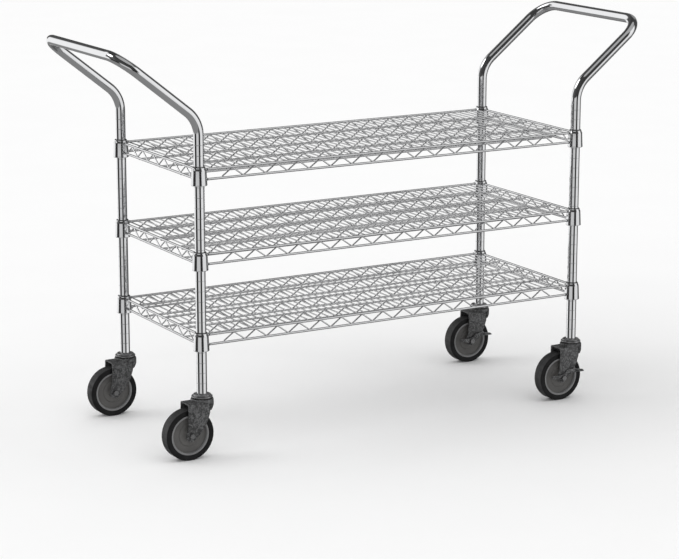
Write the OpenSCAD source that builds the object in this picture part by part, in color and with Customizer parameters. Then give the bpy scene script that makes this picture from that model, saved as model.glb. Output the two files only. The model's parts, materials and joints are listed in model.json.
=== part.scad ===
// Wire shelf cart: three wire shelves clamped to two bent tube frames on four swivel casters.
// Origin on the floor under the middle of the cart. +X runs along the length, +Z up.

/* [Cart frame] */
// Distance between post centres along the length
post_span_x = 1088; // [700:4:1400]
// Distance between post centres across the depth
post_span_y = 446; // [340:2:620]
// Outside diameter of the posts and handles
tube_d = 25.4; // [22:0.2:30]
// Wall thickness of the posts and handles
tube_wall = 1.5; // [1.2:0.1:2.4]
// Height of the post ends above the floor
post_bottom_z = 162; // [158:1:170]
// Pitch of the shallow setting grooves along the posts
groove_pitch = 25.4; // [20:0.2:50.8]
// Depth of each setting groove
groove_depth = 0.3; // [0.2:0.05:0.5]

/* [Handles] */
// Height at which each post's centre line turns outward
turn_z = 830; // [780:5:900]
// Slope of the outward run above horizontal
rise_angle = 38.5; // [30:0.5:50]
// Sloping distance from the turn to the centre of the crossbar
reach = 258; // [220:2:320]
// Centre line radius of the bend between post and outward run
lower_bend_r = 75; // [60:1:90]
// Centre line radius of the bends beside the crossbar
corner_bend_r = 62; // [50:1:75]

/* [Shelves] */
// Height of the middle of the bottom shelf's collars
bottom_shelf_z = 290; // [260:1:330]
// Height of the middle of the middle shelf's collars
middle_shelf_z = 489; // [430:1:540]
// Height of the middle of the top shelf's collars
top_shelf_z = 696; // [630:1:740]
// Height of a shelf collar
collar_h = 44; // [38:1:50]
// Diameter of the chord wires round a shelf's edge
chord_d = 6; // [5:0.2:7]
// Diameter of the chord wires inside a shelf
rib_chord_d = 5; // [4:0.2:6]
// Diameter of the zigzag wires
zigzag_d = 3.6; // [3:0.2:4.2]
// Diameter of the deck wires
deck_wire_d = 3.2; // [2.6:0.2:3.8]
// Pitch of the deck wires
deck_pitch = 20.1; // [16:0.1:30]
// Length of one zigzag wave along a shelf
long_wave = 60.1; // [50:0.1:62]
// Number of zigzag waves along a shelf
long_waves = 16; // [8:1:16]
// Length of one zigzag wave across a shelf's end
end_wave = 61; // [50:0.5:62]
// Number of zigzag waves across a shelf's end
end_waves = 6; // [3:1:6]
// Centre line radius of the bends in the zigzag wires
zigzag_bend_r = 5; // [4:0.5:7]
// Distance of the outer inside ribs from the middle rib
rib_offset = 119; // [90:1:140]

/* [Casters] */
// Wheel diameter
wheel_d = 127; // [120:1:130]
// Tread width
tread_w = 32; // [28:1:34]
// Diameter of the wheel core
core_d = 100; // [90:1:106]
// Distance from the swivel axis to the axle
trail = 40; // [32:1:44]
// Outside width of the fork
fork_w = 47; // [46:1:52]
// Thickness of the fork's steel
fork_t = 3; // [2.5:0.5:3.5]
// Diameter of the axle bolt
axle_d = 8; // [7:0.5:10]

/* [Hidden] */
$fn = 64;
post_x = post_span_x / 2;
post_y = post_span_y / 2;
tube_r = tube_d / 2;
bore_r = tube_r - tube_wall;
turn_angle = 90 - rise_angle;
turn_tangent = lower_bend_r * tan(turn_angle / 2);
bend_start_z = turn_z - turn_tangent;

END_NAME = ["left", "right"];
END_SIDE = [-1, 1];
LEVEL_NAME = ["bottom", "middle", "top"];
LEVEL_Z = [bottom_shelf_z, middle_shelf_z, top_shelf_z];
CORNER_NAME = ["front_left", "back_left", "back_right", "front_right"];
CORNER_X = [-post_x, -post_x, post_x, post_x];
CORNER_Y = [-post_y, post_y, post_y, -post_y];
// The two right-hand casters have a brake
BRAKED = [2, 3];

// Shelf heights, measured from the middle of the collars
edge_top_dz = 15.2;
edge_bottom_dz = -9.2;
weld_bite = 0.4;
deck_dz = edge_top_dz - 0.9;
rib_top_dz = deck_dz - (deck_wire_d + rib_chord_d) / 2 + weld_bite;
rib_bottom_dz = -12;
// The chord wires end inside the collar walls
chord_gap = 17;
// Each zigzag starts a little off centre
front_shift = -4.5;
back_shift = -22;
rib_shift = 7;
end_shift = 1;
deck_count = floor((post_x - 21) / deck_pitch);
// Bends are a trace thinner than the straight runs, which lap into them
tube_slack = 0.1;
tube_lap = 0.3;
wire_slack = 0.02;
wire_lap = 0.15;

// Collar and split sleeve profile
collar_top_r = 18;
collar_bottom_r = 19.8;
collar_neck_r = 15.8;
sleeve_gap = 0.05;
sleeve_in_r = tube_r + sleeve_gap;
sleeve_top_r = 14.2;
sleeve_bottom_r = 16;
sleeve_proud = 1.5;

// Swivel head heights
plate_top_z = 143;
dome_top_z = 150;
ring_bottom_z = 151;
ring_top_z = 162;
ring_r = 26;
head_r = 28.5;
skirt_low_z = 122;
skirt_from_x = 10;
ball_r = 2.5;
ball_orbit_r = 20;
ball_count = 16;
groove_gap = 0.1;
pin_r = 5.5;
pin_head_r = 9;
pin_head_z = 134.5;
stem_r = 8;
stem_top_z = 232;
socket_gap = 0.1;

// Wheel and fork
wheel_r = wheel_d / 2;
core_r = core_d / 2;
axle_r = axle_d / 2;
running_gap = 0.06;
leg_out_y = fork_w / 2;
leg_in_y = leg_out_y - fork_t;
hub_half = leg_in_y - 0.8;
hub_r = 13;
bush_r = 7;
bolt_head_h = 5.2;
bolt_head_r = 7.5;
nut_h = 6.5;
// Brake lever, measured from the axle
lever_t = 2.5;
lever_gap = 0.3;
cam_t = 2;
cam_r = 10.5;
eye_r = 9;
lever_near_y = leg_out_y + cam_t + lever_gap;
// Bolt heads on braked casters and bolt tips on the others reach equally far out
bolt_reach_y = lever_near_y + lever_t + lever_gap + bolt_head_h;

// ---- Helpers ----

function arc(cx, cy, r, from, to, steps) =
  [for (i = [0:steps]) let (a = from + (to - from) * i / steps) [cx + r * cos(a), cy + r * sin(a)]];

// A straight wire from point a to point b
module wire(a, b, d) {
  v = b - a;
  run = norm([v[0], v[1]]);
  translate(a)
    rotate([0, atan2(run, v[2]), atan2(v[1], v[0])])
      cylinder(d = d, h = norm(v), $fn = 24);
}

// One bent zigzag wire along X, centred on the origin, reaching from low to high
module zigzag(wave, count, low, high) {
  rise = high - low - 2 * zigzag_bend_r;
  slope = atan2(rise, wave / 2) + asin(2 * zigzag_bend_r / norm([wave / 2, rise]));
  reach_x = zigzag_bend_r * sin(slope);
  reach_z = zigzag_bend_r * (1 - cos(slope));
  lap = [wire_lap * cos(slope), 0, wire_lap * sin(slope)];
  for (i = [0:2 * count - 1]) {
    up = i % 2 == 0 ? 1 : -1;
    x = (i - count) * wave / 2;
    lower = [x + reach_x, 0, low + reach_z] - lap;
    upper = [x + wave / 2 - reach_x, 0, high - reach_z] + lap;
    if (up > 0) wire(lower, upper, zigzag_d);
    else wire([lower[0], 0, upper[2]], [upper[0], 0, lower[2]], zigzag_d);
    if (i > 0)
      translate([x, 0, up > 0 ? low + zigzag_bend_r : high - zigzag_bend_r])
        rotate([90, 0, 0])
          rotate_extrude(angle = 2 * slope, start = (up > 0 ? 270 : 90) - slope)
            translate([zigzag_bend_r, 0]) circle(r = zigzag_d / 2 - wire_slack, $fn = 24);
  }
}

module at_corners() {
  for (k = [0:3]) translate([CORNER_X[k], CORNER_Y[k], 0]) children();
}

// Places a child, drawn about the axle with the wheel turning about Z, at corner k
module on_axle(k) {
  translate([CORNER_X[k] - trail, CORNER_Y[k], wheel_r]) rotate([90, 0, 0]) children();
}

// ---- Posts and handles ----

// The solid swept along one end frame's centre line, for posts standing at X = 0
module frame_sweep(r, drop) {
  slant_start = turn_tangent - tube_lap;
  slant_end = reach - corner_bend_r + tube_lap;
  leg_top_z = bend_start_z + tube_lap;
  bar_half = post_y - corner_bend_r + tube_lap;
  for (side = [-1, 1]) translate([0, side * post_y, 0]) {
    translate([0, 0, post_bottom_z - drop]) cylinder(r = r, h = leg_top_z - post_bottom_z + drop);
    translate([lower_bend_r, 0, bend_start_z])
      rotate([90, 0, 0])
        rotate_extrude(angle = turn_angle, start = 180 - turn_angle)
          translate([lower_bend_r, 0]) circle(r = r - tube_slack);
  }
  translate([0, 0, turn_z]) rotate([0, -rise_angle, 0]) {
    for (side = [-1, 1]) {
      translate([slant_start, side * post_y, 0])
        rotate([0, 90, 0]) cylinder(r = r, h = slant_end - slant_start);
      translate([reach - corner_bend_r, side * (post_y - corner_bend_r), 0])
        rotate_extrude(angle = 90, start = side > 0 ? 0 : -90)
          translate([corner_bend_r, 0]) circle(r = r - tube_slack);
    }
    translate([reach, -bar_half, 0]) rotate([-90, 0, 0]) cylinder(r = r, h = 2 * bar_half);
  }
}

module setting_grooves() {
  first = post_bottom_z + groove_pitch;
  w = 2 * groove_depth;
  for (z = [first:groove_pitch:bend_start_z - groove_pitch / 2])
    translate([0, 0, z])
      rotate_extrude()
        polygon([[tube_r - groove_depth, 0], [tube_r + 1, -w - 2], [tube_r + 1, w + 2]]);
}

module handle_post(e) {
  color([0.82, 0.83, 0.85])
    translate([END_SIDE[e] * post_x, 0, 0])
      rotate([0, 0, e == 0 ? 180 : 0])
        difference() {
          frame_sweep(tube_r, 0);
          frame_sweep(bore_r, 1);
          for (side = [-1, 1]) translate([0, side * post_y, 0]) setting_grooves();
        }
}

// ---- Shelves ----

module deck_wires(l) {
  z = LEVEL_Z[l] + deck_dz;
  color([0.86, 0.87, 0.88])
    for (i = [-deck_count:deck_count])
      wire([i * deck_pitch, -post_y, z], [i * deck_pitch, post_y, z], deck_wire_d);
}

// Chord wires round the edge, one above the other on each side
module edge_chords(l) {
  side_half = post_x - chord_gap;
  end_half = post_y - chord_gap;
  color([0.8, 0.81, 0.83])
    for (dz = [edge_bottom_dz, edge_top_dz], side = [-1, 1]) {
      y = side * post_y;
      x = side * post_x;
      z = LEVEL_Z[l] + dz;
      wire([-side_half, y, z], [side_half, y, z], chord_d);
      wire([x, -end_half, z], [x, end_half, z], chord_d);
    }
}

// Three ribs of two chord wires each, from end to end under the deck wires
module rib_chords(l) {
  half = post_x - 1;
  color([0.78, 0.79, 0.81])
    for (dz = [rib_bottom_dz, rib_top_dz], y = [-rib_offset, 0, rib_offset])
      wire([-half, y, LEVEL_Z[l] + dz], [half, y, LEVEL_Z[l] + dz], rib_chord_d);
}

// A zigzag between two chord wires at heights dz_low and dz_high
module zigzag_between(l, wave, count, dz_low, dz_high, d) {
  translate([0, 0, LEVEL_Z[l]])
    zigzag(wave, count, dz_low + d / 2 - weld_bite, dz_high - d / 2 + weld_bite);
}

module side_zigzags(l) {
  color([0.8, 0.81, 0.83]) {
    translate([front_shift, -post_y, 0])
      zigzag_between(l, long_wave, long_waves, edge_bottom_dz, edge_top_dz, chord_d);
    translate([back_shift, post_y, 0])
      zigzag_between(l, long_wave, long_waves, edge_bottom_dz, edge_top_dz, chord_d);
  }
}

module rib_zigzags(l) {
  color([0.78, 0.79, 0.81])
    for (y = [-rib_offset, 0, rib_offset])
      translate([rib_shift, y, 0])
        zigzag_between(l, long_wave, long_waves, rib_bottom_dz, rib_top_dz, rib_chord_d);
}

module end_zigzags(l) {
  color([0.8, 0.81, 0.83])
    for (side = [-1, 1])
      translate([side * post_x, end_shift, 0])
        rotate([0, 0, 90])
          zigzag_between(l, end_wave, end_waves, edge_bottom_dz, edge_top_dz, chord_d);
}

module collars(l) {
  half = collar_h / 2;
  color([0.84, 0.85, 0.86])
    at_corners()
      translate([0, 0, LEVEL_Z[l]])
        rotate_extrude()
          polygon([
            [sleeve_bottom_r + sleeve_gap, -half], [collar_bottom_r - 0.6, -half],
            [collar_bottom_r, -half + 0.8], [collar_top_r, half - 7],
            [collar_neck_r, half - 2], [collar_neck_r, half],
            [sleeve_top_r + sleeve_gap, half]]);
}

module split_sleeves(l) {
  half = collar_h / 2;
  slit = 1.2;
  color([0.1, 0.1, 0.11])
    at_corners()
      translate([0, 0, LEVEL_Z[l]])
        difference() {
          rotate_extrude()
            polygon([
              [sleeve_in_r, -half], [sleeve_bottom_r, -half],
              [sleeve_top_r, half], [sleeve_top_r, half + sleeve_proud],
              [sleeve_in_r, half + sleeve_proud]]);
          translate([-30, -slit / 2, -half - 1]) cube([60, slit, collar_h + 5]);
        }
}

// ---- Swivel heads ----

module caster_stems() {
  color([0.55, 0.56, 0.58])
    at_corners()
      rotate_extrude()
        polygon([
          [0, pin_head_z], [pin_head_r - 1, pin_head_z], [pin_head_r, pin_head_z + 1],
          [pin_head_r, plate_top_z - fork_t - 0.3], [pin_r, plate_top_z - fork_t - 0.3],
          [pin_r, ring_bottom_z], [stem_r, ring_bottom_z], [stem_r, stem_top_z - 3],
          [stem_r - 3, stem_top_z], [0, stem_top_z]]);
}

module stem_sockets() {
  color([0.16, 0.16, 0.17])
    at_corners()
      rotate_extrude()
        polygon([
          [stem_r + socket_gap, ring_top_z + 0.5], [bore_r - socket_gap, ring_top_z + 0.5],
          [bore_r - socket_gap, stem_top_z - 6], [bore_r - 1.2, stem_top_z - 2],
          [stem_r + socket_gap, stem_top_z - 4]]);
}

module ball_track(z) {
  translate([0, 0, z])
    rotate_extrude() translate([ball_orbit_r, 0]) circle(r = ball_r + groove_gap, $fn = 32);
}

module swivel_rings() {
  color([0.5, 0.5, 0.52])
    at_corners()
      difference() {
        rotate_extrude()
          polygon([
            [stem_r + socket_gap, ring_bottom_z], [ring_r - 0.6, ring_bottom_z],
            [ring_r, ring_bottom_z + 0.8], [ring_r, ring_bottom_z + 4.2],
            [ring_r - 0.8, ring_bottom_z + 5], [17, ring_top_z - 1], [15.5, ring_top_z],
            [stem_r + socket_gap, ring_top_z]]);
        ball_track((dome_top_z + ring_bottom_z) / 2);
      }
}

module swivel_balls() {
  z = (dome_top_z + ring_bottom_z) / 2;
  color([0.7, 0.7, 0.72])
    at_corners()
      for (i = [0:ball_count - 1])
        rotate([0, 0, i * 360 / ball_count])
          translate([ball_orbit_r, 0, z]) sphere(r = ball_r, $fn = 24);
}

// ---- Casters ----

// One leg's outline in X and Z, measured from the swivel axis and the floor
function leg_outline() = concat(
  [[13, plate_top_z], [-47, plate_top_z], [-48.5, 92]],
  arc(-trail, wheel_r, 14.5, 170, 330, 12),
  [[-16, 66], [-4.5, 80], [4, 97], [10, 115], [13, 128]]
);

module fork_leg(side) {
  translate([0, side > 0 ? leg_out_y : -leg_in_y, 0])
    rotate([90, 0, 0]) linear_extrude(fork_t) polygon(leg_outline());
}

module fork(k) {
  color([0.36, 0.37, 0.38])
    translate([CORNER_X[k], CORNER_Y[k], 0])
      difference() {
        union() {
          for (side = [-1, 1]) fork_leg(side);
          translate([-47, -leg_out_y, plate_top_z - fork_t]) cube([47, fork_w, fork_t]);
          translate([0, 0, plate_top_z - fork_t]) cylinder(r = head_r, h = fork_t);
          // Raised head round the swivel
          rotate_extrude()
            polygon([
              [0, plate_top_z - 1], [head_r, plate_top_z - 1], [head_r, plate_top_z + 2],
              [head_r - 1.5, dome_top_z - 1], [head_r - 3, dome_top_z], [0, dome_top_z]]);
          // Skirt that joins the legs round the back of the head, deepest beside the legs
          intersection() {
            difference() {
              translate([0, 0, skirt_low_z]) cylinder(r = head_r, h = plate_top_z - skirt_low_z);
              translate([0, 0, skirt_low_z - 1])
                cylinder(r = head_r - fork_t, h = plate_top_z - skirt_low_z + 2);
            }
            translate([0, head_r + 1, 0])
              rotate([90, 0, 0])
                linear_extrude(2 * head_r + 2)
                  polygon([
                    [skirt_from_x, plate_top_z], [skirt_from_x, skirt_low_z],
                    [skirt_from_x + 4, skirt_low_z + 2], [head_r, plate_top_z - 5],
                    [head_r + 1, plate_top_z]]);
          }
        }
        ball_track((dome_top_z + ring_bottom_z) / 2);
        translate([0, 0, 100]) cylinder(r = pin_r + running_gap, h = 60);
        translate([-trail, 40, wheel_r]) rotate([90, 0, 0]) cylinder(r = axle_r + running_gap, h = 80);
      }
}

module axle_bolt(k) {
  braked = k == BRAKED[0] || k == BRAKED[1];
  head_y = braked ? bolt_reach_y - bolt_head_h : leg_out_y;
  color([0.62, 0.62, 0.64])
    on_axle(k) {
      translate([0, 0, head_y]) cylinder(r = bolt_head_r, h = bolt_head_h, $fn = 6);
      translate([0, 0, -bolt_reach_y]) cylinder(r = axle_r, h = bolt_reach_y + head_y + 1);
    }
}

module axle_nut(k) {
  color([0.72, 0.72, 0.74])
    on_axle(k)
      translate([0, 0, -leg_out_y - nut_h])
        difference() {
          union() {
            cylinder(r = bolt_head_r, h = nut_h, $fn = 6);
            translate([0, 0, nut_h - 1.2]) cylinder(r = 8.5, h = 1.2);
          }
          translate([0, 0, -1]) cylinder(r = axle_r, h = 10);
        }
}

module tyre(k) {
  half = tread_w / 2;
  crown = 3;
  color([0.09, 0.09, 0.1])
    on_axle(k)
      rotate_extrude($fn = 96)
        polygon(concat(
          [[core_r, -half + 1], [core_r + 1.5, -half + 1], [wheel_r - crown, -half]],
          arc(wheel_r - crown, -half + crown, crown, -90, 0, 5),
          arc(wheel_r - crown, half - crown, crown, 0, 90, 5),
          [[core_r + 1.5, half - 1], [core_r, half - 1]]));
}

module wheel_core(k) {
  half = tread_w / 2 - 0.5;
  color([0.33, 0.33, 0.34])
    on_axle(k)
      rotate_extrude($fn = 96)
        polygon([
          [bush_r, -hub_half], [hub_r - 1, -hub_half], [hub_r, -hub_half + 1],
          [hub_r + 0.8, -half + 4.5], [27, -half + 4.5], [29, -half + 7],
          [core_r - 6, -half + 7], [core_r - 4, -half + 0.8], [core_r - 3.2, -half], [core_r, -half],
          [core_r, half], [core_r - 3.2, half], [core_r - 4, half - 0.8], [core_r - 6, half - 7],
          [29, half - 7], [27, half - 4.5], [hub_r + 0.8, half - 4.5],
          [hub_r, hub_half - 1], [hub_r - 1, hub_half], [bush_r, hub_half]]);
}

module axle_bush(k) {
  color([0.75, 0.72, 0.6])
    on_axle(k)
      difference() {
        translate([0, 0, -leg_in_y + 0.3]) cylinder(r = bush_r, h = 2 * leg_in_y - 0.6);
        translate([0, 0, -leg_in_y - 1]) cylinder(r = axle_r + running_gap, h = 2 * leg_in_y + 2);
      }
}

// ---- Brakes ----

// Outline of the rocker lever in X and Z, measured from the axle
function lever_outline() = concat(
  arc(0, 0, eye_r, 215, 330, 8),
  [[12, 0], [24, 9], [37, 12], [62, 12], [63.5, 14], [61, 16], [33, 21.5], [15.6, 20], [10, 17]],
  arc(0, 0, eye_r, 80, 130, 4),
  [[-34, 8], [-38, 6.5], [-37, 2]]
);

module brake_lever(k) {
  color([0.6, 0.6, 0.62])
    on_axle(k)
      translate([0, 0, lever_near_y])
        difference() {
          union() {
            linear_extrude(lever_t) polygon(lever_outline());
            // Tread bent outward along the tip of the pedal
            translate([37, 12, 0]) cube([25, lever_t, 8.5]);
            // Thumb end bent outward on the tail
            translate([-37.5, 2.5, 0]) cube([lever_t, 4.5, 7]);
          }
          translate([0, 0, -1]) cylinder(r = axle_r + running_gap, h = 20);
        }
}

module brake_cam(k) {
  color([0.2, 0.2, 0.21])
    on_axle(k)
      translate([0, 0, leg_out_y])
        difference() {
          cylinder(r = cam_r, h = cam_t);
          translate([0, 0, -1]) cylinder(r = axle_r + running_gap, h = 5);
        }
}

// ---- Assembly ----

for (e = [0:1]) {
  handle_post(e);
}
for (l = [0:2]) {
  deck_wires(l);
  edge_chords(l);
  rib_chords(l);
  side_zigzags(l);
  rib_zigzags(l);
  end_zigzags(l);
  collars(l);
  split_sleeves(l);
}
caster_stems();
stem_sockets();
swivel_rings();
swivel_balls();
for (k = [0:3]) {
  fork(k);
  axle_bolt(k);
  axle_nut(k);
  tyre(k);
  wheel_core(k);
  axle_bush(k);
}
for (k = BRAKED) {
  brake_lever(k);
  brake_cam(k);
}
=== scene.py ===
"""Looks for the wire shelf cart: bright chrome tube and wire, zinc coated casters, pale studio."""
import json
import math

import bmesh
import bpy
from mathutils import Matrix, Vector

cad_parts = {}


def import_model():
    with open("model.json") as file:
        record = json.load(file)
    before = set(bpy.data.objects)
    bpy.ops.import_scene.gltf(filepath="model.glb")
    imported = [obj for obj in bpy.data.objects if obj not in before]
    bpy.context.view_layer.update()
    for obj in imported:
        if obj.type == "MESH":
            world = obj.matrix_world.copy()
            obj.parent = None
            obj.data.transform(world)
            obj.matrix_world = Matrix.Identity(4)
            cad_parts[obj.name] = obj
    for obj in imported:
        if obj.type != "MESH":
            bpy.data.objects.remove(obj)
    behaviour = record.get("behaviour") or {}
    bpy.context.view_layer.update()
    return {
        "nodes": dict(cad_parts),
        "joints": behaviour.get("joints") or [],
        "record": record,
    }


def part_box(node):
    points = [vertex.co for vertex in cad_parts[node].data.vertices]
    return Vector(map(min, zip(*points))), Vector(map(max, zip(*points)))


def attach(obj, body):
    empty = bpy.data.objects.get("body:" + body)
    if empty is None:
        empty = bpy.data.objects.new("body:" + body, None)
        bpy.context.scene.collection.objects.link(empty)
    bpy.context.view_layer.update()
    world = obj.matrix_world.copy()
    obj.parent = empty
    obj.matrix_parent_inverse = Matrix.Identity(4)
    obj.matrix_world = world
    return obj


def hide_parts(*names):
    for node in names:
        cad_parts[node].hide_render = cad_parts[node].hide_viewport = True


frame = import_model()
NODES = frame["nodes"]
SLOT_OF = {s["node"]: s["material_slot"] for s in frame["record"]["subparts"]}
JOINTS = {j["name"]: Vector(j["pos_m"]) for j in frame["joints"]}
CORNERS = ("front_left", "back_left", "back_right", "front_right")
LEVELS = ("bottom", "middle", "top")


# ---- Materials ----

def grey_stops(node, stops):
    """Gives a colour ramp its colours or grey levels at places from 0 to 1."""
    points = node.color_ramp.elements
    while len(points) < len(stops):
        points.new(0.5)
    for point, (place, value) in zip(points, stops):
        point.position = place
        point.color = (*value, 1) if isinstance(value, tuple) else (value, value, value, 1)


class Shader:
    """A Principled material with short calls for its procedural nodes."""

    def __init__(self, name, colour, metallic=0.0, roughness=0.5, **sockets):
        self.material = bpy.data.materials.new(name)
        self.material.use_nodes = True
        self.tree = self.material.node_tree
        self.surface = self.tree.nodes["Principled BSDF"]
        self.surface.inputs["Base Color"].default_value = (*colour, 1)
        self.surface.inputs["Metallic"].default_value = metallic
        self.surface.inputs["Roughness"].default_value = roughness
        for key, value in sockets.items():
            self.surface.inputs[key.replace("_", " ")].default_value = value
        self.coords = self.node("ShaderNodeTexCoord").outputs["Object"]

    def node(self, kind, **settings):
        made = self.tree.nodes.new(kind)
        for key, value in settings.items():
            setattr(made, key, value)
        return made

    def link(self, source, target):
        self.tree.links.new(source, target)
        return self

    def stretched(self, scale):
        """Object coordinates scaled along each axis."""
        mapping = self.node("ShaderNodeMapping")
        mapping.inputs["Scale"].default_value = scale
        self.link(self.coords, mapping.inputs["Vector"])
        return mapping.outputs["Vector"]

    def noise(self, scale, detail=4.0, rough=0.55, stretch=(1, 1, 1)):
        made = self.node("ShaderNodeTexNoise")
        made.inputs["Scale"].default_value = scale
        made.inputs["Detail"].default_value = detail
        made.inputs["Roughness"].default_value = rough
        self.link(self.stretched(stretch), made.inputs["Vector"])
        return made.outputs["Fac"]

    def cells(self, scale, feature="F1"):
        made = self.node("ShaderNodeTexVoronoi", feature=feature)
        made.inputs["Scale"].default_value = scale
        self.link(self.coords, made.inputs["Vector"])
        return made

    def ramp(self, source, stops):
        """Colours or grey levels at places from 0 to 1."""
        made = self.node("ShaderNodeValToRGB")
        grey_stops(made, stops)
        self.link(source, made.inputs["Fac"])
        return made.outputs["Color"]

    def mixed(self, factor, a, b, blend="MIX"):
        made = self.node("ShaderNodeMix", data_type="RGBA", blend_type=blend)
        sources = zip((made.inputs[0], made.inputs[6], made.inputs[7]), (factor, a, b))
        for socket, value in sources:
            if isinstance(value, (int, float)):
                grey = (value, value, value, 1)
                socket.default_value = value if socket.type == "VALUE" else grey
            elif isinstance(value, tuple):
                socket.default_value = (*value, 1)
            else:
                self.link(value, socket)
        return made.outputs[2]

    def edge_highlight_mask(self, width=0.0008):
        """A mask for a painted highlight: white along edges, where a rounded normal leaves the true
        one.
        """
        soft = self.node("ShaderNodeBevel", samples=4)
        soft.inputs["Radius"].default_value = width
        agree = self.node("ShaderNodeVectorMath", operation="DOT_PRODUCT")
        self.link(soft.outputs["Normal"], agree.inputs[0])
        self.link(self.node("ShaderNodeNewGeometry").outputs["Normal"], agree.inputs[1])
        return self.ramp(agree.outputs["Value"], [(0.80, 0.8), (0.97, 0.0)])

    def finish(self, colour=None, roughness=None, heights=()):
        """Links colour, roughness and bumps, each bump as (height, metres, strength)."""
        if colour:
            self.link(colour, self.surface.inputs["Base Color"])
        if roughness:
            self.link(roughness, self.surface.inputs["Roughness"])
        last = None
        for height, distance, strength in heights:
            bump = self.node("ShaderNodeBump")
            bump.inputs["Strength"].default_value = strength
            bump.inputs["Distance"].default_value = distance
            self.link(height, bump.inputs["Height"])
            if last:
                self.link(last, bump.inputs["Normal"])
            last = bump.outputs["Normal"]
        if last:
            self.link(last, self.surface.inputs["Normal"])
        return self.material


def chrome(name, tint, smooth, hazy):
    """Bright plating with faint smudges, fine specks and a little haze."""
    s = Shader(name, tint, metallic=1.0, roughness=smooth)
    smudge = s.noise(14, detail=6, rough=0.7)
    speck = s.noise(420, detail=2)
    haze = s.ramp(smudge, [(0.35, smooth), (0.7, hazy)])
    lighter = tuple(min(1, c * 1.08) for c in tint)
    tone = s.ramp(smudge, [(0.3, tint), (0.75, lighter)])
    fine = s.mixed(0.15, haze, s.ramp(speck, [(0.4, smooth), (0.7, hazy * 1.6)]))
    return s.finish(tone, fine, [(smudge, 0.0004, 0.06), (speck, 0.00004, 0.12)])


def zinc(name, dark, light, scale):
    """Zinc coating over pressed steel: mottled spangle with brighter flecks, and a painted
    highlight along its edges.
    """
    s = Shader(name, dark, metallic=0.55, roughness=0.45)
    spangle = s.cells(scale)
    cloud = s.noise(scale * 1.3, detail=1, rough=0.5)
    flecks = s.noise(scale * 2.0, detail=3, rough=0.7)
    cells = s.ramp(spangle.outputs["Color"], [(0.25, dark), (0.75, light)])
    bright = tuple(min(1, c * 1.7) for c in light)
    patched = s.mixed(s.ramp(cloud, [(0.42, 0.0), (0.58, 0.8)]), cells, dark)
    mottled = s.mixed(s.ramp(flecks, [(0.48, 0.0), (0.68, 0.9)]), patched, bright)
    # Painted highlight: edges lighter in colour, as if catching light.
    colour = s.mixed(s.edge_highlight_mask(), mottled, bright)
    rough = s.ramp(flecks, [(0.3, 0.3), (0.7, 0.6)])
    return s.finish(colour, rough,
                    [(flecks, 0.0003, 0.5), (spangle.outputs["Distance"], 0.0002, 0.2)])


def fastener(name, tint):
    """Bright zinc plated steel with turning marks, handling dirt and a painted highlight along its
    edges.
    """
    s = Shader(name, tint, metallic=1.0, roughness=0.3)
    dirt = s.noise(220, detail=5, rough=0.7)
    dull = tuple(c * 0.45 for c in tint)
    colour = s.mixed(s.ramp(dirt, [(0.45, 0.0), (0.75, 0.7)]), tint, dull)
    # Painted highlight: edges lighter in colour, as if catching light.
    colour = s.mixed(s.edge_highlight_mask(), colour, tuple(min(1, c * 1.3) for c in tint))
    rough = s.ramp(dirt, [(0.3, 0.22), (0.7, 0.5)])
    return s.finish(colour, rough, [(s.noise(600, stretch=(1, 1, 4)), 0.00006, 0.3)])


def rubber(name, dark, light):
    """Charcoal rubber: dust, moulding grain and scuffs in its roughness."""
    s = Shader(name, dark, roughness=0.55, Specular_IOR_Level=0.22)
    dust = s.noise(34, detail=6, rough=0.7)
    colour = s.ramp(dust, [(0.3, dark), (0.75, light)])
    scuffs = s.noise(90, detail=4, stretch=(1, 0.3, 1))
    rough = s.ramp(scuffs, [(0.3, 0.38), (0.7, 0.66)])
    return s.finish(colour, rough,
                    [(s.noise(1400, detail=2), 0.00008, 0.4), (dust, 0.0004, 0.12)])


def moulded(name, dark, light, smooth, rough):
    """Moulded plastic with a fine grain, slight tone change and a painted highlight along its
    edges.
    """
    s = Shader(name, dark, roughness=smooth, Specular_IOR_Level=0.5)
    cloud = s.noise(26, detail=5, rough=0.65)
    colour = s.ramp(cloud, [(0.3, dark), (0.75, light)])
    # Painted highlight: edges lighter in colour, as if catching light.
    edge_lit_colour = s.mixed(s.edge_highlight_mask(), colour, tuple(min(1, c * 1.6) for c in light))
    return s.finish(edge_lit_colour, s.ramp(cloud, [(0.3, smooth), (0.7, rough)]),
                    [(s.noise(1100, detail=3), 0.00006, 0.35), (cloud, 0.0005, 0.08)])


def bronze():
    """Porous sintered bronze."""
    s = Shader("bush_bronze_fine", (0.55, 0.42, 0.22), metallic=1.0, roughness=0.4)
    pores = s.cells(900)
    colour = s.ramp(pores.outputs["Distance"],
                    [(0.0, (0.25, 0.18, 0.09)), (0.4, (0.62, 0.48, 0.26))])
    return s.finish(colour, s.ramp(s.noise(200), [(0.3, 0.3), (0.7, 0.5)]),
                    [(pores.outputs["Distance"], 0.00008, 0.4)])


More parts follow.
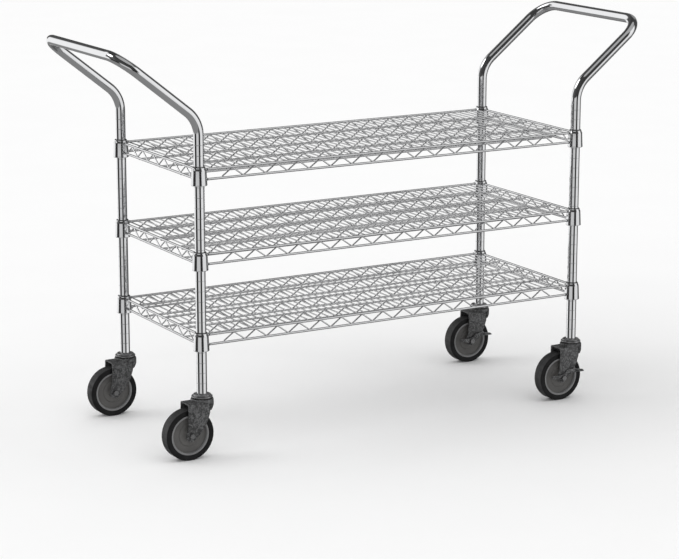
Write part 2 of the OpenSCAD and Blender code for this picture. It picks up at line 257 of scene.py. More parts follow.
MATERIALS = {
    "chrome_tube": chrome("chrome_tube_fine", (0.80, 0.805, 0.815), 0.03, 0.09),
    "chrome_wire": chrome("chrome_wire_fine", (0.70, 0.704, 0.712), 0.05, 0.12),
    "chrome_collar": chrome("chrome_collar_fine", (0.78, 0.785, 0.795), 0.07, 0.16),
    "sleeve_plastic": moulded("sleeve_plastic_fine", (0.010, 0.010, 0.011),
                              (0.022, 0.022, 0.024), 0.4, 0.6),
    "zinc_steel": zinc("zinc_steel_fine", (0.052, 0.052, 0.0525), (0.140, 0.141, 0.143), 115),
    "plated_steel": fastener("plated_steel_fine", (0.24, 0.24, 0.243)),
    "bearing_steel": fastener("bearing_steel_fine", (0.66, 0.66, 0.67)),
    "lever_steel": zinc("lever_steel_fine", (0.035, 0.035, 0.0355), (0.170, 0.171, 0.173), 150),
    "tyre_rubber": rubber("tyre_rubber_fine", (0.005, 0.005, 0.0053), (0.014, 0.014, 0.0145)),
    "core_plastic": moulded("core_plastic_fine", (0.080, 0.078, 0.075),
                            (0.125, 0.122, 0.117), 0.38, 0.55),
    "bush_bronze": bronze(),
}
# Looks of three parts that differ from the rest of their slots
RACE = fastener("swivel_race_fine", (0.42, 0.42, 0.425))
TREAD = rubber("tyre_tread_fine", (0.017, 0.017, 0.0175), (0.052, 0.052, 0.053))
# Painted light: the raised rim on each wheel face is a lighter copy of the core plastic, standing
# in for the light it catches.
RIM_PAINTED_LIGHT = moulded("core_rim_painted_light", (0.16, 0.16, 0.162), (0.22, 0.22, 0.222), 0.35, 0.5)


def give_materials():
    """Looks for the CAD solids that no fine piece replaces, such as stems, bushes and balls."""
    for name, obj in NODES.items():
        obj.data.materials.clear()
        obj.data.materials.append(MATERIALS[SLOT_OF[name]])


# ---- Sizes, in metres, with places from the frame ----

MM = 0.001
# The end frames. The tube is a hair under 12.7 mm, which keeps it inside the faceted CAD box.
TUBE_R = 12.67 * MM
TUBE_BORE = TUBE_R - 1.5 * MM
GROOVE_PITCH = 25.4 * MM
# Along the post and inward, at each ring of one setting groove
GROOVE = [(-0.7 * MM, 0), (-0.35 * MM, 0), (0, 0.12 * MM), (0.35 * MM, 0), (0.7 * MM, 0)]
RISE = math.radians(38.5)
REACH = 258 * MM
LOWER_BEND_R = 75 * MM
CORNER_BEND_R = 62 * MM
# The shelves
CHORD_R = 3 * MM
RIB_CHORD_R = 2.5 * MM
ZIGZAG_R = 1.8 * MM
ZIGZAG_BEND_R = 5 * MM
DECK_R = 1.6 * MM
DECK_PITCH = 20.1 * MM
LONG_WAVE = 60.1 * MM
LONG_WAVES = 16
END_WAVE = 61 * MM
END_WAVES = 6
# From a post's middle to the ends of the edge wires, and to their welds on the collar
WIRE_END_GAP = 17 * MM
COLLAR_WELD_GAP = 20.5 * MM
# Width and height of the weld beads, and how far they stand over a chord's middle
DECK_BEAD, DECK_BEAD_LIFT = (2.4 * MM, 1.1 * MM), 2.0 * MM
RIB_BEAD, RIB_BEAD_LIFT = (2.0 * MM, 0.9 * MM), 1.9 * MM
COLLAR_BEAD = (3.8 * MM, 3.6 * MM)
# The casters
FORK_T = 3 * MM
FORK_HALF = 23.5 * MM
FORK_TOP = 143 * MM
FORK_BEND_R = 6 * MM
SHOULDER_LOW = 131.2 * MM
HEAD_R = 28.5 * MM
HEAD_TOP = 150 * MM
THREAD_PITCH = 1.25
HEX_R = 7.5 * MM
LEVER_T = 2.5 * MM
POST = {c: Vector((*JOINTS["swivel_" + c].xy, 0)) for c in CORNERS}
AXLE = {c: JOINTS["spin_" + c] for c in CORNERS}
POST_X, POST_Y = POST["back_right"].xy


# ---- Shapes ----

def loft(rings, loop=False):
    """Faces between rings of equally many points, with capped ends, or closed to a loop."""
    points = [Vector(p) for ring in rings for p in ring]
    size = len(rings[0])
    last = len(rings) if loop else len(rings) - 1
    faces = []
    for i in range(last):
        a, b = i * size, (i + 1) % len(rings) * size
        faces += [(a + j, a + (j + 1) % size, b + (j + 1) % size, b + j) for j in range(size)]
    if not loop:
        final = (len(rings) - 1) * size
        faces += [tuple(reversed(range(size))), tuple(range(final, final + size))]
    return points, faces


def joined(*shapes):
    """Several shapes as one list of points and one list of faces."""
    points, faces = [], []
    for some, theirs in shapes:
        faces += [tuple(i + len(points) for i in f) for f in theirs]
        points += some
    return points, faces


def placed(shape, matrix):
    """The shape moved by a matrix."""
    return [matrix @ p for p in shape[0]], shape[1]


def piece(name, shape, slot, body, *nodes, material=None, crease=35):
    """A finished mesh that rides on a body, takes a material slot and stands for CAD nodes."""
    mesh = bpy.data.meshes.new(name)
    mesh.from_pydata([tuple(p) for p in shape[0]], [], shape[1])
    made = bmesh.new()
    made.from_mesh(mesh)
    bmesh.ops.recalc_face_normals(made, faces=made.faces)
    made.to_mesh(mesh)
    made.free()
    mesh.shade_smooth()
    mesh.set_sharp_from_angle(angle=math.radians(crease))
    mesh.materials.append(material or MATERIALS[slot])
    obj = bpy.data.objects.new(name, mesh)
    bpy.context.scene.collection.objects.link(obj)
    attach(obj, body)
    if nodes:
        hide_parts(*nodes)
    return obj


def tube(path, sides, bore=0.0):
    """A round bar, or a tube with a bore, through a path of (point, radius)."""
    outer, inner = [], []
    along = None
    for i, (point, radius) in enumerate(path):
        step = path[min(i + 1, len(path) - 1)][0] - path[max(i - 1, 0)][0]
        towards = step.normalized()
        if along is None:
            up = towards.orthogonal().normalized()
        else:
            up = along.rotation_difference(towards) @ up
        along = towards
        side = along.cross(up)
        turns = [2 * math.pi * j / sides for j in range(sides)]
        ring = [math.cos(t) * up + math.sin(t) * side for t in turns]
        outer.append([point + radius * v for v in ring])
        inner.append([point + bore * v for v in ring])
    return loft(outer + inner[::-1], loop=True) if bore else loft(outer)


def wire(a, b, radius, sides=14):
    """A straight wire whose cut ends are a little rounded."""
    a, b = Vector(a), Vector(b)
    lead = (b - a).normalized() * radius * 0.4
    tip = radius * 0.6
    return tube([(a, tip), (a + lead, radius), (b - lead, radius), (b, tip)], sides)


def arc(cx, cy, r, start, end, steps):
    """Points on an arc, with angles in degrees."""
    angles = [math.radians(start + (end - start) * i / steps) for i in range(steps + 1)]
    return [(cx + r * math.cos(a), cy + r * math.sin(a)) for a in angles]


def rounded(outline, radius, steps=3):
    """A closed outline whose corners are cut to soft curves."""
    soft = []
    for i, here in enumerate(outline):
        here = Vector(here)
        before = Vector(outline[i - 1]) - here
        after = Vector(outline[(i + 1) % len(outline)]) - here
        cut = min(radius, before.length * 0.45, after.length * 0.45)
        a, b = here + before.normalized() * cut, here + after.normalized() * cut
        for k in range(steps + 1):
            t = k / steps
            soft.append(tuple((1 - t) ** 2 * a + 2 * t * (1 - t) * here + t * t * b))
    return soft


def lathe(outline, steps=64, soften=0.4 * MM):
    """A closed outline of (radius, height) turned about +Z, with softened corners."""
    turns = [2 * math.pi * i / steps for i in range(steps)]
    soft = rounded(outline, soften)
    return loft([[(r * math.cos(t), r * math.sin(t), z) for r, z in soft] for t in turns],
                loop=True)


def inset(outline, by):
    """The outline, drawn anticlockwise, moved inward at each corner."""
    moved = []
    for i, here in enumerate(outline):
        here = Vector(here)
        a = (here - Vector(outline[i - 1])).normalized()
        b = (Vector(outline[(i + 1) % len(outline)]) - here).normalized()
        inward = Vector((-(a.y + b.y), a.x + b.x))
        moved.append(tuple(here + inward * by / max(0.5, 1 + a.dot(b))))
    return moved


def plate(outline, thickness, edge=0.6 * MM):
    """A flat plate on the XY plane with rounded edges. Its outline is drawn anticlockwise."""
    quarter = [(0, edge), (0.3 * edge, 0.3 * edge), (edge, 0)]
    levels = quarter + [(thickness - z, by) for z, by in reversed(quarter)]
    return loft([[(x, y, z) for x, y in inset(outline, by)] for z, by in levels])


def hexagon(radius, height, chamfer=0.7 * MM):
    """A hexagon bar end with a chamfered top and a washer face below."""
    face = arc(0, 0, radius, 0, 300, 5)
    small = [(x * 0.92, y * 0.92) for x, y in face]
    rings = [(small, 0), (small, 0.4 * MM), (face, 0.5 * MM),
             (face, height - chamfer), (small, height)]
    return loft([[(x, y, z) for x, y in ring] for ring, z in rings])


def bead(at, width, height):
    """A weld bead: a low, slightly lopsided blob."""
    lean = 0.15 * width * math.sin(at[0] * 900 + at[1] * 500)
    rings = []
    for share, lift in ((0.35, -1), (0.9, -0.5), (1.0, 0.1), (0.75, 0.7), (0.3, 1)):
        rings.append([(at[0] + share * width * math.cos(t * math.pi / 4) + lean * (lift > 0),
                       at[1] + share * width * math.sin(t * math.pi / 4),
                       at[2] + lift * height) for t in range(8)])
    return loft(rings)


# ---- Posts and handles ----

def end_frame_path(outward):
    """The middle line and radius of one end frame: up a post, out, over the bar and down."""
    low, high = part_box("handle_post_left")
    turn_z = high.z - TUBE_R - REACH * math.sin(RISE)
    start_z = turn_z - LOWER_BEND_R * math.tan((math.pi / 2 - RISE) / 2)
    side = [(0, -POST_Y, low.z, TUBE_R)]
    z = low.z + GROOVE_PITCH
    while z < start_z - GROOVE_PITCH / 2:
        side += [(0, -POST_Y, z + along, TUBE_R - cut) for along, cut in GROOVE]
        z += GROOVE_PITCH
    bend = arc(LOWER_BEND_R, start_z, LOWER_BEND_R, 180, 90 + math.degrees(RISE), 18)
    side += [(x, -POST_Y, z, TUBE_R) for x, z in bend]
    inset_y = POST_Y - CORNER_BEND_R
    for run, y in arc(REACH - CORNER_BEND_R, -inset_y, CORNER_BEND_R, -90, 0, 18):
        side.append((run * math.cos(RISE), y, turn_z + run * math.sin(RISE), TUBE_R))
    both = side + [(x, -y, z, r) for x, y, z, r in reversed(side)]
    return [(Vector((outward * (POST_X + x), y, z)), r) for x, y, z, r in both]


def handles():
    """The two end frames, each one bent tube."""
    for name, outward in (("left", -1), ("right", 1)):
        piece("tube_frame_" + name, tube(end_frame_path(outward), 40, TUBE_BORE),
              "chrome_tube", "frame", "handle_post_" + name)


# ---- Shelves ----

def zigzag(wave, count, low, high):
    """One bent wire along X, centred on the origin, between two heights of its centre line."""
    rise = high - low - 2 * ZIGZAG_BEND_R
    slope = math.degrees(math.atan2(rise, wave / 2)
                         + math.asin(2 * ZIGZAG_BEND_R / math.hypot(wave / 2, rise)))
    points = []
    for i in range(1, 2 * count):
        x = (i - count) * wave / 2
        if i % 2:
            points += arc(x, high - ZIGZAG_BEND_R, ZIGZAG_BEND_R, 90 + slope, 90 - slope, 6)
        else:
            points += arc(x, low + ZIGZAG_BEND_R, ZIGZAG_BEND_R, 270 - slope, 270 + slope, 6)
    shift = ZIGZAG_BEND_R * math.sin(math.radians(slope))
    foot = low + ZIGZAG_BEND_R * (1 - math.cos(math.radians(slope)))
    half = count * wave / 2 - shift
    points = [(-half, foot)] + points + [(half, foot)]
    return tube([(Vector((x, 0, z)), ZIGZAG_R) for x, z in points], 12)


def middle_of(node, keep):
    """The middle, in X and Y, of the part of a CAD node whose points pass a test."""
    found = [v.co for v in NODES[node].data.vertices if keep(v.co)]
    low = [min(p[i] for p in found) for i in (0, 1)]
    high = [max(p[i] for p in found) for i in (0, 1)]
    return (low[0] + high[0]) / 2, (low[1] + high[1]) / 2


def zigzags(node, wave, count, keeps, turned=False):
    """The bent wires of one node, each where the frame has it."""
    low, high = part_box(node)
    turn = Matrix.Rotation(math.pi / 2 if turned else 0, 4, "Z")
    bent = zigzag(wave, count, low.z + ZIGZAG_R, high.z - ZIGZAG_R)
    wires = [placed(bent, Matrix.Translation((*middle_of(node, keep), 0)) @ turn)
             for keep in keeps]
    piece(node + "_bent", joined(*wires), "chrome_wire", "frame", node)


def chord_heights(node, radius):
    """Heights of the lower and the upper chords' middles."""
    low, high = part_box(node)
    return low.z + radius, high.z - radius


def deck(name):
    """The wires that goods stand on. Returns their places along X."""
    low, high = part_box(name + "deck_wires")
    z = (low.z + high.z) / 2
    count = round((high.x - DECK_R) / DECK_PITCH)
    places = [i * DECK_PITCH for i in range(-count, count + 1)]
    wires = [wire((x, low.y, z), (x, high.y, z), DECK_R) for x in places]
    piece(name + "deck", joined(*wires), "chrome_wire", "frame", name + "deck_wires")
    return places


def edge_wires(name, heights):
    """Two chord wires on each side and each end, between the collars."""
    end_x, end_y = POST_X - WIRE_END_GAP, POST_Y - WIRE_END_GAP
    wires = []
    for z in heights:
        for side in (-1, 1):
            wires.append(wire((-end_x, side * POST_Y, z), (end_x, side * POST_Y, z), CHORD_R))
            wires.append(wire((side * POST_X, -end_y, z), (side * POST_X, end_y, z), CHORD_R))
    piece(name + "edge_wires", joined(*wires), "chrome_wire", "frame", name + "edge_chords")


def welds(name, places, edge_heights, rib_height, rib_ys):
    """Beads where the deck wires cross the upper chords, and where the edge wires meet collars."""
    beads = [bead((x, side * POST_Y, edge_heights[1] + DECK_BEAD_LIFT), *DECK_BEAD)
             for x in places for side in (-1, 1)]
    beads += [bead((x, y, rib_height + RIB_BEAD_LIFT), *RIB_BEAD)
              for x in places for y in rib_ys]
    near_x, near_y = POST_X - COLLAR_WELD_GAP, POST_Y - COLLAR_WELD_GAP
    for end in (-1, 1):
        for z in edge_heights:
            for side in (-1, 1):
                beads.append(bead((end * near_x, side * POST_Y, z), *COLLAR_BEAD))
                beads.append(bead((end * POST_X, side * near_y, z), *COLLAR_BEAD))
    piece(name + "welds", joined(*beads), "chrome_wire", "frame")


def shelf(level):
    """The wires of one shelf with their welds, its collars and its split sleeves."""
    name = level + "_shelf_"
    edge_heights = chord_heights(name + "edge_chords", CHORD_R)
    rib_heights = chord_heights(name + "rib_chords", RIB_CHORD_R)
    rib_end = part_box(name + "rib_chords")[1]
    rib_y = rib_end.y - RIB_CHORD_R
    rib_ys = (-rib_y, 0, rib_y)
    places = deck(name)
    edge_wires(name, edge_heights)
    ribs = [wire((-rib_end.x, y, z), (rib_end.x, y, z), RIB_CHORD_R)
            for z in rib_heights for y in rib_ys]
    piece(name + "rib_wires", joined(*ribs), "chrome_wire", "frame", name + "rib_chords")
    zigzags(name + "side_zigzags", LONG_WAVE, LONG_WAVES, [lambda p: p.y < 0, lambda p: p.y > 0])
    zigzags(name + "rib_zigzags", LONG_WAVE, LONG_WAVES,
            [lambda p: p.y < -rib_y / 2, lambda p: abs(p.y) < rib_y / 2,
             lambda p: p.y > rib_y / 2])
    zigzags(name + "end_zigzags", END_WAVE, END_WAVES,
            [lambda p: p.x < 0, lambda p: p.x > 0], turned=True)
    welds(name, places, edge_heights, rib_heights[1], rib_ys)
    collars(level)


def collars(level):
    """Tapered collars over split sleeves on the four posts."""
    low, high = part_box(level + "_shelf_collars")
    middle = (low.z + high.z) / 2
    half = (high.z - low.z) / 2 / MM
    # Radius and height from the middle, in millimetres: the foot, the taper, the neck
    shell = [(16.05, -half), (19.4, -half), (19.8, 1 - half), (19.5, 4 - half), (18.0, half - 7),
             (15.8, half - 2.5), (15.8, half), (14.25, half)]
    rings, halves = [], []
    for corner in CORNERS:
        move = Matrix.Translation(POST[corner] + Vector((0, 0, middle)))
        rings.append(placed(lathe([(r * MM, z * MM) for r, z in shell], 72), move))
        for start in (0, math.pi):
            halves.append(placed(half_sleeve(half, start), move))
    piece(level + "_shelf_collar_rings", joined(*rings), "chrome_collar", "frame",
          level + "_shelf_collars")
    piece(level + "_shelf_sleeve_halves", joined(*halves), "sleeve_plastic", "frame",
          level + "_shelf_split_sleeves")


def half_sleeve(half, start):
    """One half of a split sleeve, between two slits."""
    outline = [(12.75, -half), (16, -half), (14.2, half), (14.2, half + 1.5), (12.75, half + 1.5)]
    soft = rounded([(r * MM, z * MM) for r, z in outline], 0.3 * MM)
    slit = math.asin(0.6 / 14)
    turns = [start + slit + (math.pi - 2 * slit) * i / 30 for i in range(31)]
    return loft([[(r * math.cos(t), r * math.sin(t), z) for r, z in soft] for t in turns])


# ---- Casters ----

def swivel_rings():
    """Upper races of the four swivels, each a pressed ring with two rolled steps."""
    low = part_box("swivel_rings")[0]
    # Radius and height, in millimetres: the ball track, the lower step, the upper step
    race = [(8.1, 0), (17.4, 0), (18, 2.1), (22, 2.1), (22.6, 0), (24, 0), (24.4, 1.0), (26, 1.7),
            (26, 4.2), (25, 5.0), (22.0, 5.2), (21.4, 5.8), (22.2, 6.4), (22.2, 8.0), (20.8, 9.2),
            (16.6, 10.2), (15.6, 11), (8.1, 11)]
    base = Vector((0, 0, low.z))
    ring = lathe([(r * MM, z * MM) for r, z in race], 72, 0.6 * MM)
    rings = [placed(ring, Matrix.Translation(POST[c] + base)) for c in CORNERS]
    piece("swivel_races", joined(*rings), "zinc_steel", "frame", "swivel_rings", material=RACE)


def on_axle(corner):
    """From a place drawn about the axle, with the wheel turning about Z, to the frame."""
    return Matrix.Translation(AXLE[corner]) @ Matrix.Rotation(math.pi / 2, 4, "X")


def fork_leg_outline():
    """One leg seen from the side, measured from the swivel axis and the floor, in millimetres."""
    trail = (POST_X - AXLE["back_right"].x) / MM
    axle_z = AXLE["back_right"].z / MM
    top_and_back = [(12.2, 131.5), (-47.4, 131.5), (-48.5, 92)]
    foot = arc(-trail, axle_z, 14.5, 170, 330, 16)
    return top_and_back + foot + [(-16, 66), (-4.5, 80), (4, 97), (10, 115)]


def fork_shoulders():
    """A bent channel that carries on down into the legs."""
    outer = [(FORK_HALF, SHOULDER_LOW)] + arc(
        FORK_HALF - FORK_BEND_R, FORK_TOP - FORK_BEND_R, FORK_BEND_R, 0, 90, 6)
    inner_half, inner_top, inner_r = FORK_HALF - FORK_T, FORK_TOP - FORK_T, FORK_BEND_R / 2
    inner = arc(inner_half - inner_r, inner_top - inner_r, inner_r, 90, 0, 6) + [
        (inner_half, SHOULDER_LOW)]
    section = outer + [(-y, z) for y, z in reversed(outer)]
    section += [(-y, z) for y, z in reversed(inner)] + inner
    return loft([[(x * MM, y, z) for y, z in section] for x in (-47, -46.5, 12.4, 12.9)])


def fork(corner):
    """A pressed steel fork: two legs, rounded shoulders, a raised head and a skirt."""
    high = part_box("fork_" + corner)[1]
    leg = plate([(x * MM, z * MM) for x, z in fork_leg_outline()], FORK_T, 0.8 * MM)
    stand = Matrix.Rotation(math.pi / 2, 4, "X")
    parts = [placed(leg, Matrix.Translation((0, y, 0)) @ stand)
             for y in (FORK_HALF, FORK_T - FORK_HALF)]
    parts.append(fork_shoulders())
    # Radius and height of the head that the balls run in, in millimetres
    head = [(6, 139.8), (27.5, 139.8), (28.5, 140.6), (28.5, 145), (27.6, 148.6), (25.6, 150),
            (23.2, 150), (22.4, 147.9), (17.6, 147.9), (16.8, 150), (6, 150)]
    lift = high.z - HEAD_TOP
    parts.append(lathe([(r * MM, z * MM + lift) for r, z in head], 72, 0.8 * MM))
    parts.append(fork_skirt())
    whole = placed(joined(*parts), Matrix.Translation(POST[corner]))
    piece("fork_shell_" + corner, whole, "zinc_steel", "caster_" + corner, "fork_" + corner)


def fork_skirt():
    """The skirt that joins the legs round the back of the head, deepest beside the legs."""
    inside = HEAD_R - FORK_T
    top, lowest, raised, bevel = 141 * MM, 123, 15, 0.6 * MM
    legs_x = 13 * MM
    reach = math.acos(10.5 * MM / HEAD_R)
    rings = []
    for i in range(33):
        turn = reach * (i / 16 - 1)
        share = (HEAD_R * math.cos(turn) - legs_x) / (HEAD_R - legs_x)
        low = (lowest + raised * min(1, max(0, share))) * MM
        section = [(HEAD_R, top), (HEAD_R, low + bevel), (HEAD_R - 0.7 * MM, low),
                   (inside + 0.7 * MM, low), (inside, low + bevel), (inside, top)]
        rings.append([(r * math.cos(turn), r * math.sin(turn), z) for r, z in section])
    return loft(rings)


def tyre_outline(node):
    """Half the tread width and the tyre's section, in millimetres, with a faint parting line."""
    low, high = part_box(node)
    half = (high.y - low.y) / 2 / MM
    r = (high.z - low.z) / 2 / MM
    left = [(50, 1 - half), (51.5, 0.9 - half), (53, 0.4 - half), (r - 3.2, -half)]
    left += arc(r - 3, 3 - half, 3, -90, 0, 5)[1:] + [(r, -0.5), (r - 0.25, 0)]
    return half, left + [(x, -z) for x, z in reversed(left[:-1])]


def tyre(corner, section):
    """The tyre, its tread in a lighter rubber than its sidewalls."""
    scaled = [(r * MM, z * MM) for r, z in section]
    ring = piece("tyre_ring_" + corner, placed(lathe(scaled, 128, 0.15 * MM), on_axle(corner)),
                 "tyre_rubber", "wheel_" + corner, "tyre_" + corner, crease=50)
    ring.data.materials.append(TREAD)
    tread_r = AXLE[corner].z - 0.8 * MM
    for face in ring.data.polygons:
        out = face.center - AXLE[corner]
        face.material_index = int(math.hypot(out.x, out.z) > tread_r)


def wheel(corner):
    """Tyre, and the stepped core with a raised rim on each face."""
    half, section = tyre_outline("tyre_" + corner)
    tyre(corner, section)
    body, turn = "wheel_" + corner, on_axle(corner)
    core = half - 0.5
    hub = (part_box("wheel_core_" + corner)[1].y - AXLE[corner].y) / MM
    # Radius and height of one face, in millimetres: hub, dished web, seat of the rim
    web = [(7, -hub), (12, -hub), (13, 1 - hub), (13.8, 4.5 - core), (26.6, 4.5 - core),
           (28.6, 7 - core), (44, 7.2 - core), (45.6, 5.5 - core), (50, 5.5 - core)]
    whole = [(r * MM, z * MM) for r, z in web + [(r, -z) for r, z in reversed(web)]]
    piece("wheel_centre_" + corner, placed(lathe(whole, 96, 0.8 * MM), turn),
          "core_plastic", body, "wheel_core_" + corner)
    rim = [(44.4, core - 6), (49.9, core - 6), (49.9, core), (46.4, core), (45.2, core - 1.2)]
    rims = [lathe([(r * MM, side * z * MM) for r, z in rim], 96, 0.5 * MM) for side in (-1, 1)]
    # The rim takes the lighter copy of the core plastic, painted light for a raised ring.
    piece("wheel_rim_" + corner, placed(joined(*rims), turn), "core_plastic", body, material=RIM_PAINTED_LIGHT)


def bolt_shank(head_base, tip):
    """A shank with a thread near its tip, between two heights in millimetres."""
    thread_start = tip + 9
    outline = [(0.01, head_base), (4, head_base), (4, thread_start)]
    z = thread_start
    while z > tip + 1.2:
        outline += [(3.55, z - THREAD_PITCH / 2), (4, z - THREAD_PITCH)]
        z -= THREAD_PITCH
    outline += [(3.2, tip), (0.01, tip)]
    return lathe([(r * MM, z * MM) for r, z in outline], 32, 0.1 * MM)


def fasteners(corner):
    """The axle bolt, and the flanged nut on its tip."""
    body, turn, y = "caster_" + corner, on_axle(corner), AXLE[corner].y
    low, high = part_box("axle_bolt_" + corner)
    near, far = (y - low.y) / MM, (high.y - y) / MM
    head = 5.2
    cap = placed(hexagon(HEX_R, head * MM), Matrix.Translation((0, 0, (near - head) * MM)))
    bolt = joined(cap, bolt_shank(near - head + 0.2, -far))
    piece("bolt_" + corner, placed(bolt, turn), "plated_steel", body, "axle_bolt_" + corner)
    nut_low, nut_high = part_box("axle_nut_" + corner)
    base, end = (y - nut_high.y) / MM, (y - nut_low.y) / MM
    ring = [(4.2, end), (4.2, end - 1.2), (8.3, end - 1.2), (8.5, end)]
    flange = lathe([(r * MM, z * MM) for r, z in ring], 48, 0.2 * MM)
    turned_over = Matrix.Rotation(math.pi, 4, "X")
    grip = placed(hexagon(HEX_R, (end - base - 0.8) * MM),
                  Matrix.Translation((0, 0, (end - 0.8) * MM)) @ turned_over)
    piece("nut_" + corner, placed(joined(flange, grip), turn), "plated_steel", body,
          "axle_nut_" + corner)


def lever_outline():
    """The rocker lever seen along the axle, in millimetres from it."""
    return arc(0, 0, 9, 215, 330, 10) + [
        (12, 0), (24, 9), (37, 12), (62, 12), (63.5, 14), (61, 16), (33, 21.5), (15.6, 20), (10, 17)
    ] + arc(0, 0, 9, 80, 130, 6) + [(-34, 8), (-38, 6.5), (-37, 2)]


def tab(width, length, corner_r):
    """A flat tab of the lever's thickness, from the origin."""
    outline = [(0, 0), (width, 0), (width, length), (0, length)]
    return plate(rounded(outline, corner_r), LEVER_T, 0.5 * MM)


def brake(corner):
    """The rocker lever with its pedal and thumb end."""
    low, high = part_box("brake_lever_" + corner)
    inner, outer = AXLE[corner].y - high.y, AXLE[corner].y - low.y
    outline = [(x * MM, y * MM) for x, y in rounded(lever_outline(), 1.2, 2)]
    strap = plate(outline, LEVER_T, 0.5 * MM)
    flat = Matrix.Rotation(math.pi / 2, 4, "X")
    pedal = placed(tab(25 * MM, outer - inner, 1.5 * MM),
                   Matrix.Translation((37 * MM, 12 * MM + LEVER_T, 0)) @ flat)
    on_edge = Matrix(((0, 0, 1, -37.5 * MM), (1, 0, 0, 2.5 * MM), (0, 1, 0, 0), (0, 0, 0, 1)))
    thumb_end = placed(tab(4.5 * MM, 7 * MM, MM), on_edge)
    turn = on_axle(corner) @ Matrix.Translation((0, 0, inner))
    piece("lever_" + corner, placed(joined(strap, pedal, thumb_end), turn), "lever_steel",
          "brake_" + corner, "brake_lever_" + corner)


# ---- Studio ----

# What polished metal mirrors: (azimuth in degrees round +Z from +X, brightness)
EYE_LEVEL = [
    (-180, 0.03), (-168, 0.03), (-161, 0.66), (-116, 0.64), (-111, 0.02), (-82, 0.02),
    (-76, 0.85), (-24, 0.85), (-12, 0.10), (56, 0.10), (66, 1.0), (146, 1.0), (153, 0.03),
    (180, 0.03)]
ABOVE = [
    (-180, 0.06), (-84, 0.04), (-68, 0.04), (-62, 0.95), (-24, 0.95), (-12, 0.06), (22, 0.06),
    (32, 0.3), (50, 0.3), (60, 0.07), (96, 0.08), (102, 1.0), (130, 1.0), (138, 0.10)]
BELOW = [(-180, 0.25), (-60, 0.26), (-30, 0.20), (20, 0.11), (60, 0.11), (85, 0.25)]
ZENITH = 0.05
# Elevations in degrees where one band gives way to the next
LOW_BORDER, HIGH_BORDER, ZENITH_BORDER = (-19, -15.5), (-1, 2), (38, 48)
SOFT_LIGHT = 0.90


def world():
    """Plain white to the camera, even light on the cart, light and dark boxes in its mirrors."""
    made = bpy.data.worlds.new("studio")
    bpy.context.scene.world = made
    made.use_nodes = True
    tree = made.node_tree

    def node(kind, *links, **settings):
        added = tree.nodes.new(kind)
        for key, value in settings.items():
            setattr(added, key, value)
        for socket, source in zip(added.inputs, links):
            tree.links.new(source, socket)
        return added

    def scaled(source, low):
        """From low..-low to 0..1."""
        rescaled = node("ShaderNodeMapRange", source)
        rescaled.inputs["From Min"].default_value = low
        rescaled.inputs["From Max"].default_value = -low
        return rescaled.outputs[0]

    def mixed(factor, a, b):
        mix = node("ShaderNodeMix", factor, data_type="RGBA")
        for socket, value in ((mix.inputs[6], a), (mix.inputs[7], b)):
            if isinstance(value, (int, float)):
                socket.default_value = (value, value, value, 1)
            else:
                tree.links.new(value, socket)
        return mix.outputs[2]

    towards = node("ShaderNodeTexCoord").outputs["Generated"]
    split = node("ShaderNodeSeparateXYZ", towards)
    turn = node("ShaderNodeMath", split.outputs["Y"], split.outputs["X"], operation="ARCTAN2")
    azimuth = scaled(turn.outputs[0], -math.pi)
    height = scaled(split.outputs["Z"], -1)

    def bands(stops):
        ramp = node("ShaderNodeValToRGB", azimuth)
        grey_stops(ramp, [((angle + 180) / 360, level) for angle, level in stops])
        return ramp.outputs["Color"]

    def rising(start, end):
        """A factor that goes from 0 to 1 between two elevations in degrees."""
        ramp = node("ShaderNodeValToRGB", height)
        places = [(math.sin(math.radians(e)) + 1) / 2 for e in (start, end)]
        grey_stops(ramp, [(places[0], 0.0), (places[1], 1.0)])
        return ramp.outputs["Color"]

    mirrored = mixed(rising(*LOW_BORDER), bands(BELOW), bands(EYE_LEVEL))
    mirrored = mixed(rising(*HIGH_BORDER), mirrored, bands(ABOVE))
    mirrored = mixed(rising(*ZENITH_BORDER), mirrored, ZENITH)
    ray = node("ShaderNodeLightPath")
    seen = mixed(ray.outputs["Is Glossy Ray"], SOFT_LIGHT, mirrored)
    seen = mixed(ray.outputs["Is Camera Ray"], seen, 1.0)
    tree.links.new(seen, tree.nodes["Background"].inputs["Color"])


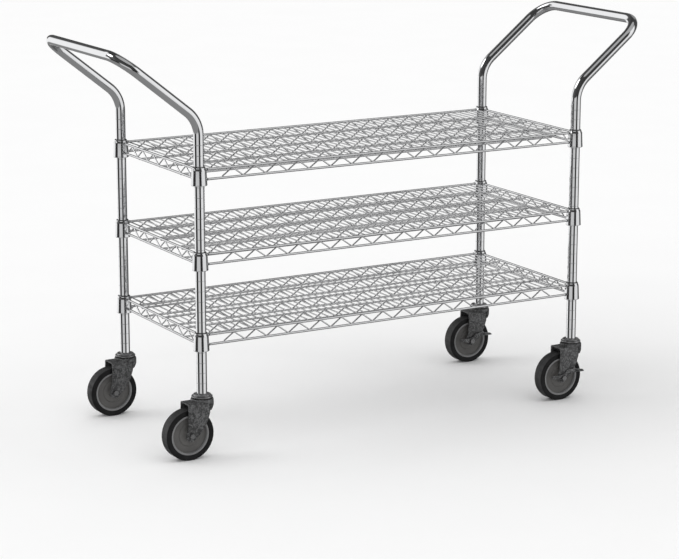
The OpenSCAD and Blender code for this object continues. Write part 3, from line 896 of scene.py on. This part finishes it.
def floor():
    """A pale floor with painted shade, greyer near the right end than far away, and painted light,
    brightest under the left.
    """
    bpy.ops.mesh.primitive_plane_add(size=60)
    plane = bpy.context.object
    plane.name = "floor"
    s = Shader("floor_pale", (0.9, 0.9, 0.9), roughness=0.95, Specular_IOR_Level=0.0)

    def away_from(x, y, reach):
        """A factor that grows from 0 at a place to 1 at a distance from it."""
        offset = s.node("ShaderNodeMapping")
        offset.inputs["Location"].default_value = (-x, -y, 0)
        s.link(s.coords, offset.inputs["Vector"])
        length = s.node("ShaderNodeVectorMath", operation="LENGTH")
        s.link(offset.outputs["Vector"], length.inputs[0])
        near = s.node("ShaderNodeMapRange")
        near.inputs["From Max"].default_value = reach
        s.link(length.outputs["Value"], near.inputs["Value"])
        return near.outputs[0]

    # Painted shade: the floor darkens towards a place right of the cart, as a soft shadow would.
    tone = s.ramp(away_from(0.75, -0.1, 2.0),
                  [(0.0, 0.80), (0.4, 0.87), (0.7, 0.90), (0.95, 0.91)])
    # Painted light: a brighter patch under the left of the cart, where its shade would fall.
    painted_light_patch = s.ramp(away_from(-0.3, 0.1, 0.6), [(0.3, 0.75), (1.0, 0.0)])
    tone = s.mixed(painted_light_patch, tone, 0.98)
    mottle = s.ramp(s.noise(3, detail=3), [(0.3, 0.99), (0.7, 1.0)])
    plane.data.materials.append(s.finish(s.mixed(1.0, tone, mottle, "MULTIPLY")))
    plane.visible_glossy = False


def sun(name, azimuth, elevation, spread, strength):
    """A soft distant light that stands at an azimuth round +Z from +X, in degrees."""
    data = bpy.data.lights.new(name, "SUN")
    data.angle = math.radians(spread)
    data.energy = strength
    obj = bpy.data.objects.new(name, data)
    bpy.context.scene.collection.objects.link(obj)
    a, e = math.radians(azimuth), math.radians(elevation)
    towards = Vector((math.cos(a) * math.cos(e), math.sin(a) * math.cos(e), math.sin(e)))
    obj.rotation_euler = towards.to_track_quat("Z", "Y").to_euler()


def studio():
    """Surroundings, floor and two soft lights."""
    world()
    floor()
    sun("key", 150, 38, 28, 0.45)
    sun("top", -60, 75, 60, 0.3)


CAMERA_AT = (-3.0043, -5.2268, 1.7350)
CAMERA_AZIMUTH, CAMERA_ELEVATION = math.radians(-29.616), math.radians(13.058)


def camera():
    """At the viewing angle: from the front, left of the middle, a little above the handles."""
    data = bpy.data.cameras.new("camera")
    obj = bpy.data.objects.new("camera", data)
    bpy.context.scene.collection.objects.link(obj)
    level = math.cos(CAMERA_ELEVATION)
    back = Vector((math.sin(CAMERA_AZIMUTH) * level, -math.cos(CAMERA_AZIMUTH) * level,
                   math.sin(CAMERA_ELEVATION)))
    obj.location = CAMERA_AT
    obj.rotation_euler = (-back).to_track_quat("-Z", "Y").to_euler()
    data.sensor_width = 36
    data.lens = 126.17
    data.clip_end = 100
    bpy.context.scene.camera = obj


give_materials()
handles()
for level in LEVELS:
    shelf(level)
swivel_rings()
for corner in CORNERS:
    fork(corner)
    wheel(corner)
    fasteners(corner)
for corner in ("back_right", "front_right"):
    brake(corner)
studio()
camera()
bpy.context.scene.view_settings.view_transform = "Standard"
